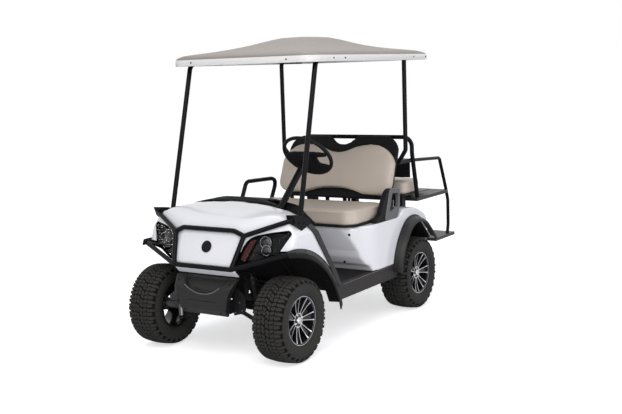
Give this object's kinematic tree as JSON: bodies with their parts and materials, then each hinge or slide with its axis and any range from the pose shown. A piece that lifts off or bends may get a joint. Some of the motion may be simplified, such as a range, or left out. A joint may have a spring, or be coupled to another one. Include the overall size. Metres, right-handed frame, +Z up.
{
  "type": "four-seat lifted golf cart",
  "caption": "Lifted golf cart with a bench seat, a rear-facing seat over a deck, a roof on struts, a brush guard, steering and free wheels.",
  "frame": {"origin": "on the ground under the middle of the cart's length and width", "axes": "+X is the cart's left, +Y its rear, +Z up"},
  "size_m": [1.34, 2.8799, 2.1149],
  "materials": {
    "body_white": "gloss white moulded body panels",
    "engine_iron": "dark engine casting",
    "frame_black": "satin black frame paint",
    "lamp_lens": "dark headlamp housing under a clear lens",
    "rim_alloy": "machined faces with black pockets",
    "roof_taupe": "taupe roof panel with a white edge band",
    "seat_beige": "beige-grey marine vinyl",
    "sill_grey": "dark grey plastic",
    "steel_grey": "plain steel",
    "tail_red": "red lens",
    "tread_plate": "black tread plate",
    "trim_black": "grained black plastic",
    "tube_black": "black powder coat",
    "tyre_black": "charcoal rubber"
  },
  "bodies": {
    "chassis": {"frame_rails": "frame_black", "front_suspension": "frame_black", "rear_axle": "frame_black", "rear_suspension": "frame_black", "engine_block": "engine_iron", "front_cowl": "body_white", "skid_cover": "sill_grey", "headlamps": "lamp_lens", "brush_guard": "tube_black", "dash_panel": "trim_black", "floor_pan": "trim_black", "sills": "sill_grey", "rear_body": "body_white", "front_flares": "trim_black", "rear_flares": "trim_black", "seat_back_shell": "trim_black", "seat_back_pad": "seat_beige", "hip_restraints": "trim_black", "front_struts": "tube_black", "rear_struts": "tube_black", "roof": "roof_taupe", "steering_column": "tube_black", "pedals": "trim_black", "rear_hoop": "tube_black", "rear_seat_back": "seat_beige", "rear_seat_cushion": "seat_beige", "seat_board": "tread_plate", "deck_frame": "frame_black", "cargo_deck": "tread_plate", "footrest": "tread_plate", "grab_rails": "tube_black", "tail_lamps": "tail_red"},
    "seat": {"seat_cushion": "seat_beige"},
    "steering_wheel": {"steering_wheel": "trim_black"},
    "knuckle_left": {"knuckle_left": "steel_grey"},
    "knuckle_right": {"knuckle_right": "steel_grey"},
    "tie_rod": {"tie_rod": "steel_grey"},
    "wheel_front_left": {"tyre_front_left": "tyre_black", "rim_front_left": "rim_alloy"},
    "wheel_front_right": {"tyre_front_right": "tyre_black", "rim_front_right": "rim_alloy"},
    "wheel_rear_left": {"tyre_rear_left": "tyre_black", "rim_rear_left": "rim_alloy"},
    "wheel_rear_right": {"tyre_rear_right": "tyre_black", "rim_rear_right": "rim_alloy"}
  },
  "joints": [
    {"name": "steering", "type": "hinge", "parent": "chassis", "child": "steering_wheel", "pos_m": [0.3, -0.536, 1.281], "axis": [0, 0.7431, 0.6691], "range_deg": [-360, 360]},
    {"name": "knuckle_left_turn", "type": "hinge", "parent": "chassis", "child": "knuckle_left", "pos_m": [0.383, -1.16, 0.28], "axis": [0, 0, 1], "range_deg": [-30, 30]},
    {"name": "knuckle_right_turn", "type": "hinge", "parent": "chassis", "child": "knuckle_right", "pos_m": [-0.383, -1.16, 0.28], "axis": [0, 0, 1], "range_deg": [-30, 30]},
    {"name": "tie_rod_turn", "type": "hinge", "parent": "knuckle_left", "child": "tie_rod", "pos_m": [0.383, -1.03, 0.29], "axis": [0, 0, 1], "range_deg": [-30, 30]},
    {"name": "seat_lid", "type": "hinge", "parent": "chassis", "child": "seat", "pos_m": [0, 0.216, 0.86], "axis": [-1, 0, 0], "range_deg": [0, 60]},
    {"name": "front_left_spin", "type": "hinge", "parent": "knuckle_left", "child": "wheel_front_left", "pos_m": [0.523, -1.16, 0.28], "axis": [1, 0, 0], "continuous": true},
    {"name": "front_right_spin", "type": "hinge", "parent": "knuckle_right", "child": "wheel_front_right", "pos_m": [-0.523, -1.16, 0.28], "axis": [1, 0, 0], "continuous": true},
    {"name": "rear_left_spin", "type": "hinge", "parent": "chassis", "child": "wheel_rear_left", "pos_m": [0.54, 0.49, 0.28], "axis": [1, 0, 0], "continuous": true},
    {"name": "rear_right_spin", "type": "hinge", "parent": "chassis", "child": "wheel_rear_right", "pos_m": [-0.54, 0.49, 0.28], "axis": [1, 0, 0], "continuous": true}
  ],
  "couplings": [
    {"joint": "knuckle_left_turn", "follows": "steering", "ratio": 0.083333},
    {"joint": "knuckle_right_turn", "follows": "steering", "ratio": 0.083333},
    {"joint": "tie_rod_turn", "follows": "steering", "ratio": -0.083333}
  ]
}
